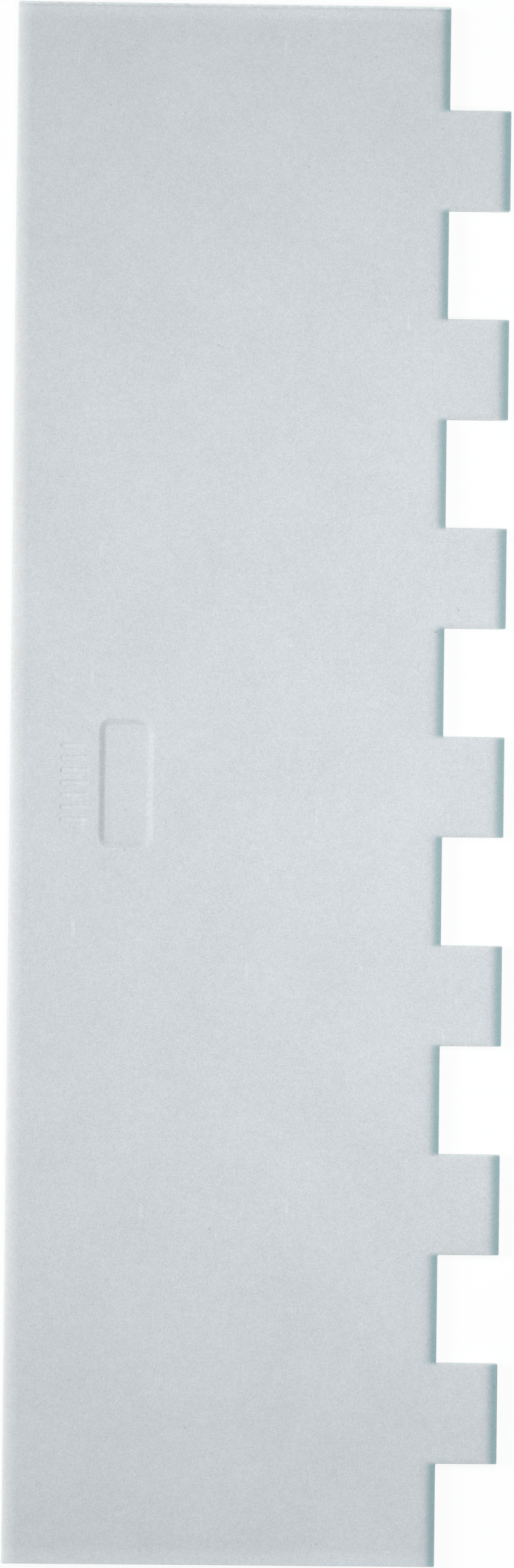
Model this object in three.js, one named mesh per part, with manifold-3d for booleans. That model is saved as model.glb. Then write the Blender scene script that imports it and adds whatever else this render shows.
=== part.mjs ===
// Patterned cake scraper: one flat moulded sheet with a straight long edge, a square-toothed long edge
// that combs stripes into icing, and a plain sunk panel beside a row of short bars on its upper face.
// Millimetres, +Z up. The sheet lies flat on z = 0 with its length along Y and its teeth towards +X.
// The origin is the middle of the box around the underside.

import * as THREE from "three";
import { mergeVertices } from "three/addons/utils/BufferGeometryUtils.js";
import Module from "manifold-3d";

const wasm = await Module();
wasm.setup();

// Sheet
const LENGTH = 254;
const BODY_WIDTH = 70.5;
const THICKNESS = 2;
const EDGE_ROUND = 0.15;
const EDGE_ROUND_STEPS = 3;

// Teeth: square teeth and notches in turn, centred on the length, with a plain step left at each end
const TOOTH_DEPTH = 10;
const TOOTH_WIDTH = 16.4;
const NOTCH_WIDTH = 17.6;
const LEAST_END_STEP = 12;
const CORNER_RADIUS = 0.25;
const CORNER_STEPS = 4;

// Sunk panel, measured at the face, with walls that slope down to its floor
const PANEL_LENGTH = 21.6;
const PANEL_WIDTH = 9.2;
const PANEL_DEPTH = 0.5;
const PANEL_SLOPE = 1.4;
const PANEL_FLOOR_CORNER = 0.8;
const PANEL_FROM_STRAIGHT_EDGE = 14.2;

// Row of sunk bars between the straight edge and the panel, measured at their floors
const BAR_COUNT = 7;
const BAR_PITCH = 2;
const BAR_WIDTH = 0.4;
const BAR_LENGTH = 4;
const BAR_DEPTH = 0.15;
const BAR_SLOPE = 0.4;
const BAR_GAP_TO_PANEL = 1.4;

// How far a cutter stands out of the face that it cuts
const CUTTER_RISE = 1;

const PITCH = TOOTH_WIDTH + NOTCH_WIDTH;
const TOOTH_COUNT = Math.max(1, Math.floor((LENGTH - 2 * LEAST_END_STEP - TOOTH_WIDTH) / PITCH) + 1);
const STRAIGHT_EDGE_X = -(BODY_WIDTH + TOOTH_DEPTH) / 2;
const ROOT_X = STRAIGHT_EDGE_X + BODY_WIDTH;
const TIP_X = ROOT_X + TOOTH_DEPTH;
const PANEL_X = STRAIGHT_EDGE_X + PANEL_FROM_STRAIGHT_EDGE + PANEL_WIDTH / 2;
const BAR_X = PANEL_X - PANEL_WIDTH / 2 - BAR_GAP_TO_PANEL - BAR_LENGTH / 2 - BAR_SLOPE;

// A shape through corner points, each corner rounded by the same radius.
function roundedOutline(corners, radius) {
  const shape = new THREE.Shape();
  corners.forEach((corner, i) => {
    const before = corners[(i + corners.length - 1) % corners.length];
    const after = corners[(i + 1) % corners.length];
    const start = corner.clone().add(before.clone().sub(corner).setLength(radius));
    const end = corner.clone().add(after.clone().sub(corner).setLength(radius));
    if (i === 0) shape.moveTo(start.x, start.y);
    else shape.lineTo(start.x, start.y);
    shape.quadraticCurveTo(corner.x, corner.y, end.x, end.y);
  });
  shape.closePath();
  return shape;
}

// The corners of the sheet, anticlockwise from the straight edge's lower end.
function sheetCorners() {
  const corners = [new THREE.Vector2(STRAIGHT_EDGE_X, -LENGTH / 2), new THREE.Vector2(ROOT_X, -LENGTH / 2)];
  for (let i = 0; i < TOOTH_COUNT; i += 1) {
    const middle = (i - (TOOTH_COUNT - 1) / 2) * PITCH;
    const low = middle - TOOTH_WIDTH / 2;
    const high = middle + TOOTH_WIDTH / 2;
    corners.push(new THREE.Vector2(ROOT_X, low), new THREE.Vector2(TIP_X, low));
    corners.push(new THREE.Vector2(TIP_X, high), new THREE.Vector2(ROOT_X, high));
  }
  corners.push(new THREE.Vector2(ROOT_X, LENGTH / 2), new THREE.Vector2(STRAIGHT_EDGE_X, LENGTH / 2));
  return corners;
}

// The four corners of a rectangle about a middle point.
function rectangleCorners(x, y, width, length) {
  return [
    new THREE.Vector2(x - width / 2, y - length / 2),
    new THREE.Vector2(x + width / 2, y - length / 2),
    new THREE.Vector2(x + width / 2, y + length / 2),
    new THREE.Vector2(x - width / 2, y + length / 2),
  ];
}

// A closed geometry as a solid that can be cut.
function solidFrom(geometry) {
  geometry.deleteAttribute("normal");
  geometry.deleteAttribute("uv");
  const merged = mergeVertices(geometry);
  return new wasm.Manifold(
    new wasm.Mesh({
      numProp: 3,
      vertProperties: merged.getAttribute("position").array,
      triVerts: new Uint32Array(merged.index.array),
    }),
  );
}

// A cut solid as a geometry.
function geometryFrom(solid) {
  const mesh = solid.getMesh();
  const geometry = new THREE.BufferGeometry();
  geometry.setAttribute("position", new THREE.BufferAttribute(mesh.vertProperties, mesh.numProp));
  geometry.setIndex(new THREE.BufferAttribute(mesh.triVerts, 1));
  return geometry;
}

// The sheet with its arrises rounded on both faces.
function sheetSolid() {
  const geometry = new THREE.ExtrudeGeometry(roundedOutline(sheetCorners(), CORNER_RADIUS), {
    depth: THICKNESS - 2 * EDGE_ROUND,
    curveSegments: CORNER_STEPS,
    bevelThickness: EDGE_ROUND,
    bevelSize: EDGE_ROUND,
    bevelOffset: -EDGE_ROUND,
    bevelSegments: EDGE_ROUND_STEPS,
  });
  geometry.translate(0, 0, EDGE_ROUND);
  return solidFrom(geometry);
}

// A cutter for a recess in the upper face: its floor outline widens by slope on the way up to the face.
function recessCutter(floor, depth, slope) {
  const geometry = new THREE.ExtrudeGeometry(floor, {
    depth: CUTTER_RISE,
    curveSegments: CORNER_STEPS,
    bevelThickness: depth,
    bevelSize: slope,
    bevelSegments: 1,
  });
  geometry.translate(0, 0, THICKNESS);
  return solidFrom(geometry);
}

function panelCutter() {
  const floorWidth = PANEL_WIDTH - 2 * PANEL_SLOPE;
  const floorLength = PANEL_LENGTH - 2 * PANEL_SLOPE;
  const floor = roundedOutline(rectangleCorners(PANEL_X, 0, floorWidth, floorLength), PANEL_FLOOR_CORNER);
  return recessCutter(floor, PANEL_DEPTH, PANEL_SLOPE);
}

function barCutter(index) {
  const y = (index - (BAR_COUNT - 1) / 2) * BAR_PITCH;
  const floor = new THREE.Shape(rectangleCorners(BAR_X, y, BAR_LENGTH, BAR_WIDTH));
  return recessCutter(floor, BAR_DEPTH, BAR_SLOPE);
}

function scraperPlate() {
  let solid = sheetSolid().subtract(panelCutter());
  for (let i = 0; i < BAR_COUNT; i += 1) solid = solid.subtract(barCutter(i));
  const material = new THREE.MeshStandardMaterial({ color: 0xced4d8, roughness: 0.5, metalness: 0 });
  const mesh = new THREE.Mesh(geometryFrom(solid), material);
  mesh.name = "scraper_plate";
  return mesh;
}

const scraper = new THREE.Group();
scraper.add(scraperPlate());

export default scraper;
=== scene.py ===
"""Patterned cake scraper: a flat frosted plastic sheet with a square-toothed edge, seen from above.

Metres, in the frame of the CAD part: the sheet lies flat on z = 0, its length runs along Y and its teeth
point towards +X.
"""

import math

import bmesh
import bpy
from mathutils import Matrix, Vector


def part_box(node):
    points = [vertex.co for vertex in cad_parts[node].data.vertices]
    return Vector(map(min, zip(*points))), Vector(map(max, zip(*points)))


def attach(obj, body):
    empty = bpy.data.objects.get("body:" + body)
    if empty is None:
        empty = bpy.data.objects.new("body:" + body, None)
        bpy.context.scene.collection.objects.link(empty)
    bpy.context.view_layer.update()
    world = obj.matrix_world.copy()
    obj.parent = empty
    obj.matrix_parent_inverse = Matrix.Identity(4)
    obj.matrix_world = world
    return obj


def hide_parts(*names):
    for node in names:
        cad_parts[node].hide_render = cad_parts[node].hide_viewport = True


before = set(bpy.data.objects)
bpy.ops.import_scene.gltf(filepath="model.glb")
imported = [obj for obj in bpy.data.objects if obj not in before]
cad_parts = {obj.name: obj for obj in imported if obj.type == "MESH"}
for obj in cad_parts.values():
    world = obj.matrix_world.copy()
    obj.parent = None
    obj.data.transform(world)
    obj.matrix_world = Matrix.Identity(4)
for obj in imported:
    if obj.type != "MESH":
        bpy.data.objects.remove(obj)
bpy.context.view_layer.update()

MM = 0.001

# Sheet: its outer size is that of the solid it stands for
sheet_low, sheet_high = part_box("scraper_plate")
STRAIGHT_EDGE_X = sheet_low.x
TIP_X = sheet_high.x
LENGTH = sheet_high.y - sheet_low.y
THICKNESS = sheet_high.z - sheet_low.z
EDGE_ROUND = 0.15 * MM
EDGE_ROUND_STEPS = 4

# Teeth
TOOTH_DEPTH = 10 * MM
TOOTH_WIDTH = 16.4 * MM
NOTCH_WIDTH = 17.6 * MM
TOOTH_COUNT = 7
CORNER_RADIUS = 0.25 * MM
CORNER_STEPS = 6

# Sunk panel
PANEL_LENGTH = 21.6 * MM
PANEL_WIDTH = 9.2 * MM
PANEL_CORNER = 2.2 * MM
PANEL_CORNER_STEPS = 10
PANEL_FROM_STRAIGHT_EDGE = 14.2 * MM

# Row of sunk bars
BAR_COUNT = 7
BAR_PITCH = 2 * MM
BAR_WIDTH = 1.2 * MM
BAR_LENGTH = 4.8 * MM
BAR_CORNER = 0.5 * MM
BAR_CORNER_STEPS = 4
BAR_GAP_TO_PANEL = 1.4 * MM

# Wall of a recess from the face down to the floor: how far each step runs in and how far it drops
PANEL_WALL = [(0.2 * MM, 0.03 * MM), (0.25 * MM, 0.09 * MM), (0.5 * MM, 0.26 * MM),
              (0.25 * MM, 0.09 * MM), (0.2 * MM, 0.03 * MM)]
BAR_WALL = [(0.12 * MM, 0.025 * MM), (0.16 * MM, 0.1 * MM), (0.12 * MM, 0.025 * MM)]

PITCH = TOOTH_WIDTH + NOTCH_WIDTH
ROOT_X = TIP_X - TOOTH_DEPTH
PANEL_X = STRAIGHT_EDGE_X + PANEL_FROM_STRAIGHT_EDGE + PANEL_WIDTH / 2
BAR_X = PANEL_X - PANEL_WIDTH / 2 - BAR_GAP_TO_PANEL - BAR_LENGTH / 2

# An arris is where the upward parts of two faces' directions differ by more than this
ARRIS_TURN = 0.5
# The upward part of a level face's direction is more than this
NEARLY_LEVEL = 0.9

# How much weight the smooth shading gives to large faces, so that the flat ones stay flat
LARGE_FACE_WEIGHT = 80

# Frosted plastic: the face's colour, the colours of the painted light it fades to at the straight edge and
# on the arrises, walls and upper rim, and what is left of it under the blue-green tint, which is the
# plastic's own on its walls and painted shade elsewhere
FACE_COLOUR = (0.648, 0.664, 0.686, 1)
STRAIGHT_EDGE_LIGHT_COLOUR = (0.95, 0.93, 0.91, 1)
PAINTED_EDGE_LIGHT_COLOUR = (0.92, 0.97, 0.97, 1)
BLUE_GREEN_TINT_AND_SHADE = (0.495, 0.688, 0.702, 1)
REFRACTION = 1.49
SHEEN_LEVEL = 0.35
SCATTER_SHARE = 0.55
SCATTER_RADIUS = (1.0, 0.7, 0.65)
SCATTER_REACH = 3 * MM

# Unevenness of the frosted face: the scale per metre, the detail and the roughness of each noise
UNEVENNESS = {
    "frost": (8000, 1, 0.5),
    "pores": (3400, 2, 0.6),
    "grain": (1300, 2, 0.6),
    "mottle": (450, 1, 0.5),
    "cloud": (60, 3, 0.5),
}

# Scattered marks: the width and length of a mark's cell, the turn of the cells in radians, the mark's size
# as a share of its cell, and the share of the cells that hold one
MARKS = {
    "dark_speck": ((3.6 * MM, 3.6 * MM), 0, 0.035, 0.06),
    "pale_speck": ((4.6 * MM, 4.6 * MM), 0.4, 0.03, 0.12),
    "scuff": ((4.5 * MM, 24 * MM), 0.32, 0.05, 0.12),
}
# A mark's least size, how much larger it may be and how soft its outline is, as shares of its size
LEAST_MARK = 0.3
MARK_SPREAD = 1.1
MARK_SOFTNESS = 0.25

# How far each feature of the face lightens or darkens it, stands up or dips, and roughens or polishes it
SHADES = {
    "frost": 0.34, "pores": 0.38, "grain": 0.15, "mottle": 0.05, "cloud": 0.12,
    "dark_speck": -0.2, "pale_speck": 0.12, "scuff": 0.06,
    # Painted light near the two ends, the dark hairline, painted shade beside the teeth, and the bar
    # floors:
    "painted_end_light": 0.06, "hairline": -0.08, "edge_shade": -0.08, "bar_floor": 0.06,
}
HEIGHTS = {"pores": 1, "grain": 0.5, "dark_speck": -0.3, "pale_speck": 0.3, "scuff": -0.2}
ROUGHNESSES = {"grain": 0.2, "cloud": 0.1, "scuff": -0.1}
MEAN_ROUGHNESS = 0.6
BUMP_STRENGTH = 0.35
BUMP_HEIGHT = 0.03 * MM

# How strongly each feature takes the blue-green tint, which is the plastic's own on the walls and painted
# shade at the ends, on slopes facing the teeth and on the straight arris, or the light colours of painted
# light at the straight edge, arrises, walls and upper rim
END_PAINTED_SHADE = 0.07
WALL_TINT = 0.35
TOOTH_SIDE_SLOPE_PAINTED_SHADE = 0.2
STRAIGHT_ARRIS_PAINTED_SHADE = 0.25
STRAIGHT_EDGE_PAINTED_LIGHT = 0.33
STRAIGHT_EDGE_LIGHT_CURVE = 0.7
ARRIS_PAINTED_LIGHT = 0.9
WALL_PAINTED_LIGHT = 0.25
RIM_PAINTED_LIGHT = 0.6

# Bands along an edge, of painted shade, of painted light, and the dark hairline: how far from it each one
# starts and how far from it the band is full
ROOT_PAINTED_SHADE = (1.95 * MM, 0.35 * MM)
TIP_PAINTED_SHADE = (2.05 * MM, 0.4 * MM)
STRIP_SHADE = (3.2 * MM, 1.2 * MM)
FLANK_SHADE = (1.2 * MM, 0.1 * MM)
STRAIGHT_EDGE_LIGHT_BAND = (2.2 * MM, 0.2 * MM)
END_LIGHT_BAND = (3.2 * MM, 1.2 * MM)
RIM = (0.32 * MM, 0.12 * MM)
HAIRLINE_INNER_SIDE = (0.85 * MM, 0.65 * MM)
HAIRLINE_OUTER_SIDE = (0.36 * MM, 0.5 * MM)
RIM_WOBBLE = 0.5 * MM
RIM_NOISE = (1100, 2, 0.5)

# Ends of the painted shade strips: how far past a tooth's side, or in from the sheet's upper end, they
# start and are full
ROOT_STRIP_END = (-0.6 * MM, 0.4 * MM)
TIP_STRIP_END = (-0.3 * MM, 0.5 * MM)
UPPER_STRIP_END = (-0.2 * MM, 0.8 * MM)

# How far past a notch floor a tooth begins, so that the floor's own wall isn't taken for the tooth
ROOT_MARGIN = 0.01 * MM

# Where along the length, from the middle, the blue-green painted shade of the two ends starts and is full
END_PAINTED_SHADE_REACH = (65 * MM, 112 * MM)

# Depth below the face where the floor of a bar starts and is full
BAR_FLOOR_DEPTH = (0.05 * MM, 0.13 * MM)

# Parts of the surface's direction, up or towards the teeth, where each kind of slope starts and is full
WALL_LEVELNESS = (0.3, 0.05)
ARRIS_LEVELNESS = (0.9, 0.7)
FLOOR_LEVELNESS = (0.8, 0.95)
AWAY_FROM_TEETH = (-0.2, -0.6)
TOWARDS_TEETH = (0.1, 0.5)

# White table top and room
TABLE_REACH = 8
TABLE_DROP = 0.1 * MM
TABLE_PAINT = (0.95, 0.95, 0.95, 1)
TABLE_OWN_WHITE = 0.9
WHITE = (1, 1, 1, 1)
ROOM_LIGHT_COLOUR = (0.87, 0.98, 1, 1)
ROOM_LIGHT_STRENGTH = 0.28

# Lamps
SIDE_LIGHT_STRENGTH = 1.65
SIDE_LIGHT_SOFTNESS = math.radians(25)
SIDE_LIGHT_TURN = (0, math.radians(-58), math.radians(-8))
OVERHEAD_LIGHT_POWER = 0.49
OVERHEAD_LIGHT_SIZE = 0.15
OVERHEAD_LIGHT_PLACE = (0.05, 0.01, 0.3)

# Camera: high above the sheet, out past its straight edge and turned to its middle
CAMERA_PLACE = (-0.0981, -0.01057, 1.99586)
CAMERA_TURN = (math.radians(0.2748), math.radians(-2.8183), math.radians(0.649))
CAMERA_SENSOR = 24
CAMERA_LENS = 187.8


class Value:
    """One shader socket. Arithmetic on it adds Math nodes to the same tree."""

    def __init__(self, tree, socket):
        self.tree = tree
        self.socket = socket

    def __add__(self, other):
        return self.tree.math("ADD", self, other)

    def __radd__(self, other):
        return self.tree.math("ADD", other, self)

    def __sub__(self, other):
        return self.tree.math("SUBTRACT", self, other)

    def __rsub__(self, other):
        return self.tree.math("SUBTRACT", other, self)

    def __mul__(self, other):
        return self.tree.math("MULTIPLY", self, other)

    def __rmul__(self, other):
        return self.tree.math("MULTIPLY", other, self)


class Tree:
    """The shader nodes of a material or a world."""

    def __init__(self, owner):
        owner.use_nodes = True
        self.nodes = owner.node_tree.nodes
        self.links = owner.node_tree.links
        self.nodes.clear()

    def add(self, kind, settings=None, sockets=None, output=0):
        """A new node: its settings are set first, then its sockets get values or links.

        Gives the named output, or a list of outputs where several are named.
        """
        node = self.nodes.new(kind)
        for name, value in (settings or {}).items():
            setattr(node, name, value)
        for name, value in (sockets or {}).items():
            if isinstance(value, Value):
                self.links.new(value.socket, node.inputs[name])
            else:
                node.inputs[name].default_value = value
        if isinstance(output, tuple):
            return [Value(self, node.outputs[name]) for name in output]
        return Value(self, node.outputs[output]) if node.outputs else None

    def math(self, operation, *values):
        return self.add("ShaderNodeMath", {"operation": operation}, dict(enumerate(values)))

    def largest(self, first, *others):
        """The largest of several values."""
        for other in others:
            first = self.math("MAXIMUM", first, other)
        return first

    def ramp(self, value, start, end):
        """0 where value is at start, 1 where it is at end, smooth between."""
        sockets = {"Value": value, "From Min": start, "From Max": end}
        return self.add("ShaderNodeMapRange", {"interpolation_type": "SMOOTHSTEP"}, sockets)

    def line(self, value, start, end):
        """0 where value is at start, 1 where it is at end, straight between."""
        sockets = {"Value": value, "From Min": start, "From Max": end}
        return self.add("ShaderNodeMapRange", {"clamp": True}, sockets)

    def noise(self, place, scale, detail, roughness):
        """Noise about 0."""
        sockets = {"Vector": place, "Scale": scale, "Detail": detail, "Roughness": roughness}
        return self.add("ShaderNodeTexNoise", None, sockets) - 0.5

    def blend(self, factor, under, over, mode="MIX"):
        """A colour laid over another one. The sockets go by number, because several share a name."""
        settings = {"data_type": "RGBA", "blend_type": mode}
        return self.add("ShaderNodeMix", settings, {0: factor, 6: under, 7: over}, output=2)


def bevel(mesh, edges, radius, steps):
    """Rounds the given edges."""
    bmesh.ops.bevel(
        mesh, geom=edges, affect="EDGES", offset=radius, segments=steps, profile=0.5, material=-1
    )


def sheet_corners():
    """The corner points of the sheet, anticlockwise from the straight edge's lower end."""
    corners = [(STRAIGHT_EDGE_X, -LENGTH / 2), (ROOT_X, -LENGTH / 2)]
    for i in range(TOOTH_COUNT):
        middle = (i - (TOOTH_COUNT - 1) / 2) * PITCH
        low, high = middle - TOOTH_WIDTH / 2, middle + TOOTH_WIDTH / 2
        corners += [(ROOT_X, low), (TIP_X, low), (TIP_X, high), (ROOT_X, high)]
    return corners + [(ROOT_X, LENGTH / 2), (STRAIGHT_EDGE_X, LENGTH / 2)]


def add_rounded_sheet(mesh):
    """The sheet with rounded corners and arrises. Returns its upper face."""
    base = mesh.faces.new([mesh.verts.new((x, y, 0)) for x, y in sheet_corners()])
    raised = bmesh.ops.extrude_face_region(mesh, geom=[base])["geom"]
    raised_points = [item for item in raised if isinstance(item, bmesh.types.BMVert)]
    bmesh.ops.translate(mesh, verts=raised_points, vec=(0, 0, THICKNESS))
    bmesh.ops.recalc_face_normals(mesh, faces=mesh.faces[:])
    uprights = [e for e in mesh.edges if abs(e.verts[0].co.z - e.verts[1].co.z) > THICKNESS / 2]
    bevel(mesh, uprights, CORNER_RADIUS, CORNER_STEPS)
    mesh.normal_update()
    arrises = []
    for edge in mesh.edges:
        first, second = edge.link_faces
        if abs(first.normal.z - second.normal.z) > ARRIS_TURN:
            arrises.append(edge)
    bevel(mesh, arrises, EDGE_ROUND, EDGE_ROUND_STEPS)
    mesh.normal_update()
    return max((f for f in mesh.faces if f.normal.z > NEARLY_LEVEL), key=lambda f: f.calc_area())


def add_patch(mesh, x, y, width, length, corner, corner_steps):
    """A flat rounded rectangle, level with the sheet's upper face."""
    count = 4 * corner_steps
    turn = Matrix.Rotation(math.pi / count, 4, "Z")
    disc = bmesh.ops.create_circle(mesh, cap_ends=True, segments=count, radius=corner, matrix=turn)
    points = disc["verts"]
    for side in (-1, 1):
        across = [p for p in points if p.co.x * side > 0]
        bmesh.ops.translate(mesh, verts=across, vec=(side * (width / 2 - corner), 0, 0))
        along = [p for p in points if p.co.y * side > 0]
        bmesh.ops.translate(mesh, verts=along, vec=(0, side * (length / 2 - corner), 0))
    bmesh.ops.translate(mesh, verts=points, vec=(x, y, THICKNESS))
    return points[0].link_faces[0]


def sink(mesh, patch, wall):
    """Lowers a patch step by step, so that its wall curves down to a flat floor."""
    for run, drop in wall:
        bmesh.ops.inset_region(mesh, faces=[patch], thickness=run, depth=-drop, use_even_offset=True)


def scraper_plate():
    """The whole sheet, with its sunk panel and row of bars, as one piece."""
    mesh = bmesh.new()
    upper = add_rounded_sheet(mesh)
    face_edges = upper.edges[:]
    bmesh.ops.delete(mesh, geom=[upper], context="FACES_ONLY")
    panel = add_patch(mesh, PANEL_X, 0, PANEL_WIDTH, PANEL_LENGTH, PANEL_CORNER, PANEL_CORNER_STEPS)
    bars = []
    for i in range(BAR_COUNT):
        y = (i - (BAR_COUNT - 1) / 2) * BAR_PITCH
        bars.append(add_patch(mesh, BAR_X, y, BAR_LENGTH, BAR_WIDTH, BAR_CORNER, BAR_CORNER_STEPS))
    for patch in [panel, *bars]:
        face_edges += patch.edges[:]
    bmesh.ops.triangle_fill(mesh, use_beauty=True, edges=face_edges, normal=(0, 0, 1))
    sink(mesh, panel, PANEL_WALL)
    for bar in bars:
        sink(mesh, bar, BAR_WALL)
    bmesh.ops.recalc_face_normals(mesh, faces=mesh.faces[:])
    for face in mesh.faces:
        face.smooth = True
    data = bpy.data.meshes.new("frosted_scraper")
    mesh.to_mesh(data)
    mesh.free()
    piece = bpy.data.objects.new("frosted_scraper", data)
    bpy.context.scene.collection.objects.link(piece)
    piece.modifiers.new("flat_faces", "WEIGHTED_NORMAL").weight = LARGE_FACE_WEIGHT
    return piece


def cut_edges(tree, x, y):
    """Two painted shades along the notch floors and tooth tips, which face away from the side light: a
    blue-green one, also laid faintly over the two ends, and a soft one beside it and along each tooth's
    lower side.
    """
    along_tooth = tree.math("WRAP", y, PITCH / 2, -PITCH / 2)
    past_flank = tree.math("ABSOLUTE", along_tooth) - TOOTH_WIDTH / 2
    on_tooth = tree.math("GREATER_THAN", x, ROOT_X + ROOT_MARGIN)
    below_upper_end = tree.ramp(LENGTH / 2 - y, *UPPER_STRIP_END)
    at_root = tree.ramp(past_flank, *ROOT_STRIP_END) * below_upper_end * (1 - on_tooth)
    at_tip = tree.ramp(TOOTH_WIDTH / 2 - along_tooth, *TIP_STRIP_END)
    root_painted_shade = tree.ramp(ROOT_X - x, *ROOT_PAINTED_SHADE) * at_root
    tip_painted_shade = tree.ramp(TIP_X - x, *TIP_PAINTED_SHADE) * at_tip
    # Faint blue-green painted shade over the two ends
    ends = tree.ramp(tree.math("ABSOLUTE", y), *END_PAINTED_SHADE_REACH)
    tint = tree.largest(root_painted_shade, tip_painted_shade) + END_PAINTED_SHADE * ends

    root_shade = tree.ramp(ROOT_X - x, *STRIP_SHADE) * at_root
    tip_shade = tree.ramp(TIP_X - x, *STRIP_SHADE) * at_tip
    flank_shade = tree.ramp(along_tooth + TOOTH_WIDTH / 2, *FLANK_SHADE) * on_tooth
    return tint, tree.largest(root_shade, tip_shade, flank_shade)


def painted_end_light(tree, y):
    """Painted light near the two ends: how much paler the face is drawn there."""
    return tree.ramp(LENGTH / 2 - tree.math("ABSOLUTE", y), *END_LIGHT_BAND)


def upper_rim(tree, place, y):
    """Two masks along the rough upper end: a rim of painted light, and the dark hairline inside that."""
    depth = LENGTH / 2 - y + RIM_WOBBLE * tree.noise(place, *RIM_NOISE)
    rim = tree.ramp(depth, *RIM)
    hairline = tree.ramp(depth, *HAIRLINE_INNER_SIDE) * tree.ramp(depth, *HAIRLINE_OUTER_SIDE)
    return rim, hairline


def scattered_marks(tree, place, cell, turn, size, share):
    """Spots of mixed sizes, at most one in each cell."""
    sockets = {"Vector": place, "Rotation": (0, 0, turn), "Scale": (1 / cell[0], 1 / cell[1], 1)}
    placed = tree.add("ShaderNodeMapping", None, sockets)
    settings = {"voronoi_dimensions": "2D"}
    sockets = {"Vector": placed, "Scale": 1}
    distance, chance = tree.add("ShaderNodeTexVoronoi", settings, sockets, output=("Distance", "Color"))
    keep, spread = tree.add("ShaderNodeSeparateColor", None, {"Color": chance}, output=("Red", "Green"))
    reach = size * (LEAST_MARK + MARK_SPREAD * spread)
    soft_edge = MARK_SOFTNESS * size
    return tree.ramp(distance - reach, soft_edge, -soft_edge) * tree.math("LESS_THAN", keep, share)


def weighed(base, features, weights):
    """base, and each feature times its weight added to it."""
    for name, weight in weights.items():
        base = base + weight * features[name]
    return base


def frosted_plastic():
    """The sheet's one material: its grain and marks, its tinted walls, painted light on its edges, and
    painted shade along its teeth and on some slopes.
    """
    material = bpy.data.materials.new("frosted_plastic")
    tree = Tree(material)
    place = tree.add("ShaderNodeTexCoord", output="Object")
    x, y, z = tree.add("ShaderNodeSeparateXYZ", None, {0: place}, output=("X", "Y", "Z"))
    normal = tree.add("ShaderNodeNewGeometry", output="Normal")
    facing_teeth, facing_up = tree.add("ShaderNodeSeparateXYZ", None, {0: normal}, output=("X", "Z"))

    # Walls, arrises and other slopes
    levelness = tree.math("ABSOLUTE", facing_up)
    wall = tree.ramp(levelness, *WALL_LEVELNESS)
    arris = tree.ramp(levelness, *ARRIS_LEVELNESS) * (1 - wall)
    straight_arris = arris * tree.ramp(facing_teeth, *AWAY_FROM_TEETH)
    tooth_side_slope = tree.ramp(facing_teeth, *TOWARDS_TEETH)

    # Features of the face
    features = {name: tree.noise(place, *shape) for name, shape in UNEVENNESS.items()}
    for name, shape in MARKS.items():
        features[name] = scattered_marks(tree, place, *shape)
    edge_painted_shade, features["edge_shade"] = cut_edges(tree, x, y)
    rim, features["hairline"] = upper_rim(tree, place, y)
    features["painted_end_light"] = painted_end_light(tree, y)
    bar_side = tree.math("LESS_THAN", x, PANEL_X - PANEL_WIDTH / 2)
    sunk_level = tree.ramp(THICKNESS - z, *BAR_FLOOR_DEPTH) * tree.ramp(facing_up, *FLOOR_LEVELNESS)
    features["bar_floor"] = sunk_level * bar_side

    # Colour: the shaded face, painted light at the straight edge, the blue-green tint, then painted light
    # on the arrises, walls and upper rim
    shade = weighed(1, features, SHADES)
    tone = tree.add("ShaderNodeCombineColor", None, {0: shade, 1: shade, 2: shade})
    face = tree.blend(1.0, FACE_COLOUR, tone, "MULTIPLY")
    # Painted light: the face drawn paler towards the straight edge, the side that the side light comes from
    straight_edge_light = tree.line(x - STRAIGHT_EDGE_X, *STRAIGHT_EDGE_LIGHT_BAND)
    straight_edge_light = tree.math("POWER", straight_edge_light, STRAIGHT_EDGE_LIGHT_CURVE)
    face = tree.blend(STRAIGHT_EDGE_PAINTED_LIGHT * straight_edge_light, face, STRAIGHT_EDGE_LIGHT_COLOUR)
    # Blue-green tint: the plastic's own on its walls; painted shade along the teeth, at the ends and on
    # slopes facing the teeth
    tint = tree.largest(edge_painted_shade, WALL_TINT * wall, TOOTH_SIDE_SLOPE_PAINTED_SHADE * tooth_side_slope)
    # Painted shade that dims the straight arris, where the side light catches it
    tint = tint + STRAIGHT_ARRIS_PAINTED_SHADE * straight_arris
    base = tree.blend(tint, face, BLUE_GREEN_TINT_AND_SHADE, "MULTIPLY")
    # Painted light on the arrises except the straight one, on the walls and along the upper rim
    painted_edge_light = ARRIS_PAINTED_LIGHT * (arris - straight_arris) + WALL_PAINTED_LIGHT * wall
    base = tree.blend(tree.largest(painted_edge_light, RIM_PAINTED_LIGHT * rim), base, PAINTED_EDGE_LIGHT_COLOUR)

    height = weighed(0, features, HEIGHTS)
    sockets = {"Strength": BUMP_STRENGTH, "Distance": BUMP_HEIGHT, "Height": height}
    bump = tree.add("ShaderNodeBump", None, sockets)
    shader = tree.add(
        "ShaderNodeBsdfPrincipled",
        {"subsurface_method": "RANDOM_WALK"},
        {
            "Base Color": base,
            "Roughness": weighed(MEAN_ROUGHNESS, features, ROUGHNESSES),
            "Normal": bump,
            "IOR": REFRACTION,
            "Specular IOR Level": SHEEN_LEVEL,
            "Subsurface Weight": SCATTER_SHARE,
            "Subsurface Radius": SCATTER_RADIUS,
            "Subsurface Scale": SCATTER_REACH,
        },
    )
    tree.add("ShaderNodeOutputMaterial", None, {"Surface": shader})
    return material


def seen_directly(tree):
    """1 where a camera ray, a mirror ray or a ray through glass arrives."""
    kinds = ("Is Camera Ray", "Is Glossy Ray", "Is Transmission Ray")
    camera, mirror, glass = tree.add("ShaderNodeLightPath", output=kinds)
    return tree.largest(camera, mirror, glass)


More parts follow.
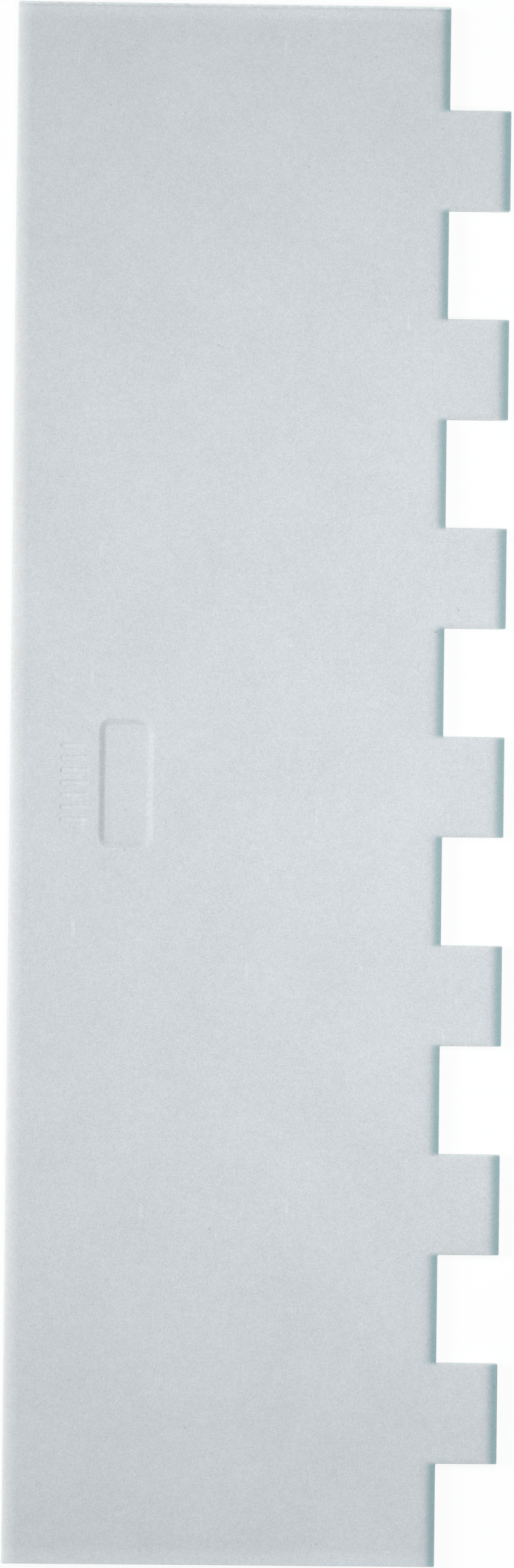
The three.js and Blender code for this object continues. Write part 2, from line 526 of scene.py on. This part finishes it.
def white_floor():
    """A white table top. Most of its white is its own, so the sheet's shadow on it stays faint."""
    mesh = bmesh.new()
    bmesh.ops.create_grid(mesh, x_segments=1, y_segments=1, size=TABLE_REACH)
    bmesh.ops.translate(mesh, verts=mesh.verts[:], vec=(0, 0, -TABLE_DROP))
    data = bpy.data.meshes.new("table_top")
    mesh.to_mesh(data)
    mesh.free()
    floor = bpy.data.objects.new("table_top", data)
    bpy.context.scene.collection.objects.link(floor)
    material = bpy.data.materials.new("white_table")
    tree = Tree(material)
    paint = tree.add("ShaderNodeBsdfDiffuse", None, {"Color": TABLE_PAINT})
    glow = tree.add("ShaderNodeEmission", None, {"Color": WHITE, "Strength": 1.0})
    own_white = seen_directly(tree) * TABLE_OWN_WHITE
    surface = tree.add("ShaderNodeMixShader", None, {0: own_white, 1: paint, 2: glow})
    tree.add("ShaderNodeOutputMaterial", None, {"Surface": surface})
    data.materials.append(material)


def white_room():
    """Soft light from all round, in a room that looks white."""
    world = bpy.data.worlds.new("white_room")
    bpy.context.scene.world = world
    tree = Tree(world)
    sockets = {"Color": ROOM_LIGHT_COLOUR, "Strength": ROOM_LIGHT_STRENGTH}
    soft = tree.add("ShaderNodeBackground", None, sockets)
    white = tree.add("ShaderNodeBackground", None, {"Color": WHITE, "Strength": 1.0})
    surface = tree.add("ShaderNodeMixShader", None, {0: seen_directly(tree), 1: soft, 2: white})
    tree.add("ShaderNodeOutputWorld", None, {"Surface": surface})


def side_light():
    """Soft light from the straight edge's side, low over the sheet."""
    light = bpy.data.lights.new("side_light", "SUN")
    light.energy = SIDE_LIGHT_STRENGTH
    light.angle = SIDE_LIGHT_SOFTNESS
    lamp = bpy.data.objects.new("side_light", light)
    lamp.rotation_euler = SIDE_LIGHT_TURN
    bpy.context.scene.collection.objects.link(lamp)


def overhead_light():
    """A soft box above the toothed edge."""
    light = bpy.data.lights.new("overhead_light", "AREA")
    light.energy = OVERHEAD_LIGHT_POWER
    light.size = OVERHEAD_LIGHT_SIZE
    lamp = bpy.data.objects.new("overhead_light", light)
    lamp.location = OVERHEAD_LIGHT_PLACE
    lamp.visible_camera = False
    bpy.context.scene.collection.objects.link(lamp)


def camera_above():
    """The photograph's view of the sheet, from far above."""
    data = bpy.data.cameras.new("camera")
    data.sensor_width = CAMERA_SENSOR
    data.lens = CAMERA_LENS
    camera = bpy.data.objects.new("camera", data)
    camera.location = CAMERA_PLACE
    camera.rotation_euler = CAMERA_TURN
    bpy.context.scene.collection.objects.link(camera)
    bpy.context.scene.camera = camera


bpy.context.scene.view_settings.view_transform = "Standard"
camera_above()
plate = scraper_plate()
plate.data.materials.append(frosted_plastic())
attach(plate, "root")
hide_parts("scraper_plate")
white_floor()
white_room()
side_light()
overhead_light()
